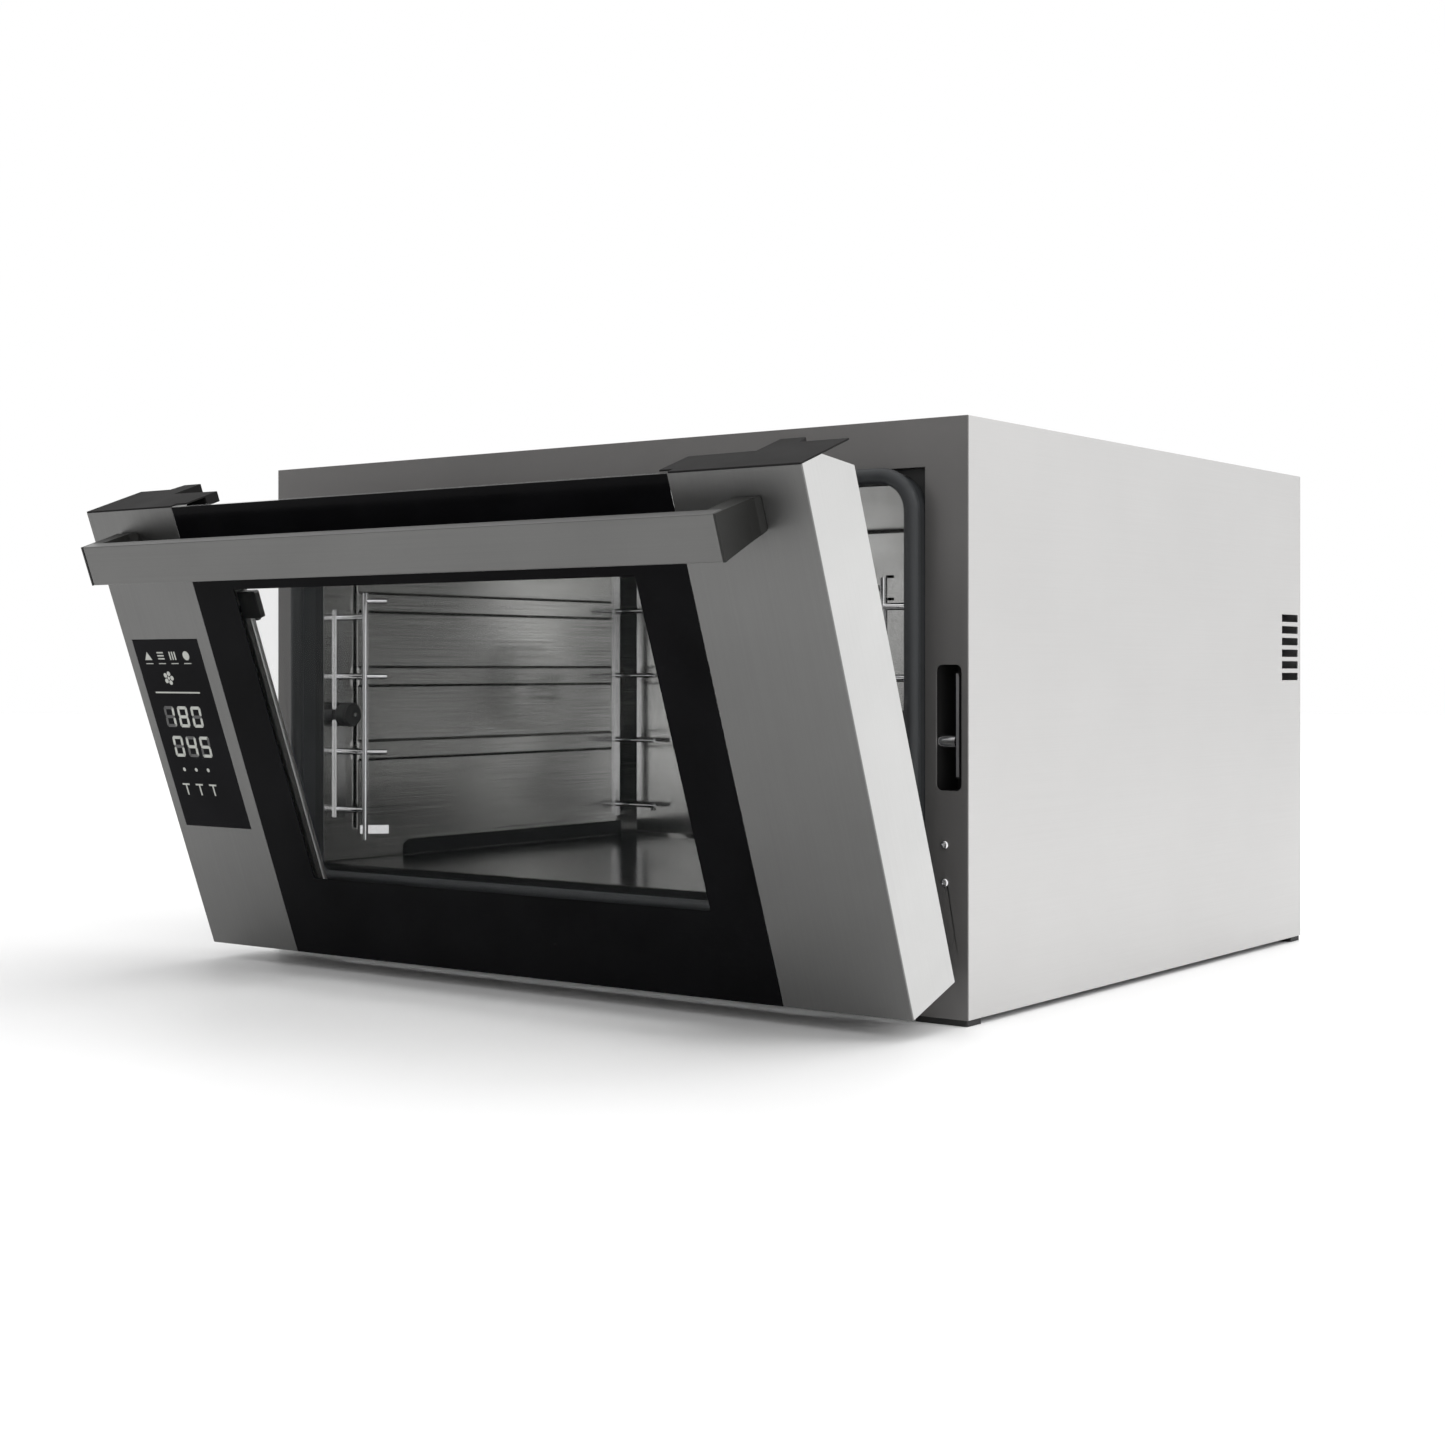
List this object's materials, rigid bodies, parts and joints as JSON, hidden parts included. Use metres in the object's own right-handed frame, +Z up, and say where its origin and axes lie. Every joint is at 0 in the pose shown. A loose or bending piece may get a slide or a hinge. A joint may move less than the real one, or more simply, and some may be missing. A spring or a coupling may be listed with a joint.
{
  "type": "combi steamer oven",
  "caption": "Countertop convection and steam oven with a steel cabinet, a bottom-hinged glass door with bar handle, touch panel, tray racks, fans and rear service connections.",
  "frame": {"origin": "on the floor, under the centre of the box around the whole oven with its door ajar", "axes": "+X to the right seen from the front, +Y from the door to the back, +Z up"},
  "size_m": [0.8, 0.9772, 0.483],
  "materials": {
    "steel_casing": "satin",
    "steel_fascia": "satin",
    "steel_cavity": "polished",
    "steel_door": "satin",
    "dark_cap": "matte",
    "handle_steel": "satin",
    "handle_grey": "matte",
    "chrome": "polished",
    "zinc_steel": "satin",
    "seal_rubber": "matte",
    "black_rubber": "matte",
    "clear_glass": "gloss",
    "black_print": "gloss",
    "panel_black": "gloss",
    "black_plastic": "matte",
    "red_plastic": "gloss",
    "beige_plastic": "matte",
    "blue_plastic": "matte",
    "wool": "matte",
    "heater_steel": "satin",
    "motor_paint": "satin",
    "spring_steel": "satin",
    "brass": "satin",
    "pipe_white": "matte",
    "board_green": "gloss"
  },
  "bodies": {
    "cabinet": {"outer_casing": "steel_casing", "front_frame": "steel_fascia", "base_pan": "zinc_steel", "rear_panel": "steel_casing", "feet": "black_rubber", "cavity_liner": "steel_cavity", "cavity_seal": "seal_rubber", "insulation": "wool", "side_panel_left": "steel_cavity", "side_panel_right": "steel_cavity", "rack_front_left": "chrome", "rack_front_right": "chrome", "rack_rear_left": "chrome", "rack_rear_right": "chrome", "rack_knobs": "black_plastic", "rack_studs": "chrome", "fan_baffle": "steel_cavity", "bulkhead": "zinc_steel", "heater_left": "heater_steel", "heater_right": "heater_steel", "motor_left": "motor_paint", "motor_right": "motor_paint", "steam_pipe": "pipe_white", "solenoid_valve": "blue_plastic", "water_inlet": "brass", "exhaust_pipe": "steel_casing", "power_board": "board_green", "terminal_block": "beige_plastic", "cable_gland": "black_plastic", "thermostat": "beige_plastic", "cooling_fan_frame": "black_plastic", "temperature_probe": "steel_cavity", "hinge_brackets": "zinc_steel", "hinge_pins": "zinc_steel", "catch_bracket": "dark_cap", "casing_screws": "zinc_steel"},
    "door": {"door_column_left": "steel_door", "door_column_right": "steel_door", "door_cap_left": "dark_cap", "door_cap_right": "dark_cap", "outer_glass": "clear_glass", "glass_border": "black_print", "inner_glass": "clear_glass", "glass_pads": "black_plastic", "door_rails": "steel_door", "catch_tongue": "zinc_steel", "hinge_leaves": "zinc_steel", "hinge_springs": "spring_steel", "handle_bar": "handle_steel", "handle_ends": "handle_grey", "control_panel": "panel_black"},
    "fan_left": {"fan_wheel_left": "steel_cavity", "fan_shaft_left": "zinc_steel"},
    "fan_right": {"fan_wheel_right": "steel_cavity", "fan_shaft_right": "zinc_steel"},
    "cooling_rotor": {"cooling_fan_rotor": "black_plastic"},
    "catch_roller": {"catch_roller": "chrome"},
    "clip_left": {"glass_clip_left": "black_plastic"},
    "clip_right": {"glass_clip_right": "black_plastic"},
    "reset_button": {"thermostat_button": "red_plastic"}
  },
  "joints": [
    {"name": "door_hinge", "type": "hinge", "parent": "cabinet", "child": "door", "pos_m": [0, -0.27444, 0.034], "axis": [1, 0, 0], "range_deg": [-20, 62], "stiffness_Nm_per_rad": 18, "springref_deg": -20},
    {"name": "fan_left_spin", "type": "hinge", "parent": "cabinet", "child": "fan_left", "pos_m": [-0.165, 0.28356, 0.26], "axis": [0, 1, 0], "continuous": true},
    {"name": "fan_right_spin", "type": "hinge", "parent": "cabinet", "child": "fan_right", "pos_m": [0.165, 0.28356, 0.26], "axis": [0, 1, 0], "continuous": true},
    {"name": "cooling_fan_spin", "type": "hinge", "parent": "cabinet", "child": "cooling_rotor", "pos_m": [0.33, 0.39356, 0.3], "axis": [0, 1, 0], "continuous": true},
    {"name": "catch_roller_spin", "type": "hinge", "parent": "cabinet", "child": "catch_roller", "pos_m": [0.379, -0.20844, 0.225], "axis": [1, 0, 0], "continuous": true},
    {"name": "clip_left_turn", "type": "hinge", "parent": "door", "child": "clip_left", "pos_m": [-0.301, -0.34638, 0.33984], "axis": [0, 0.9397, 0.342], "range_deg": [0, 90]},
    {"name": "clip_right_turn", "type": "hinge", "parent": "door", "child": "clip_right", "pos_m": [0.301, -0.34638, 0.33984], "axis": [0, 0.9397, 0.342], "range_deg": [-90, 0]},
    {"name": "reset_press", "type": "slide", "parent": "cabinet", "child": "reset_button", "axis": [0, -1, 0], "range_m": [0, 0.002], "stiffness_N_per_m": 600}
  ]
}
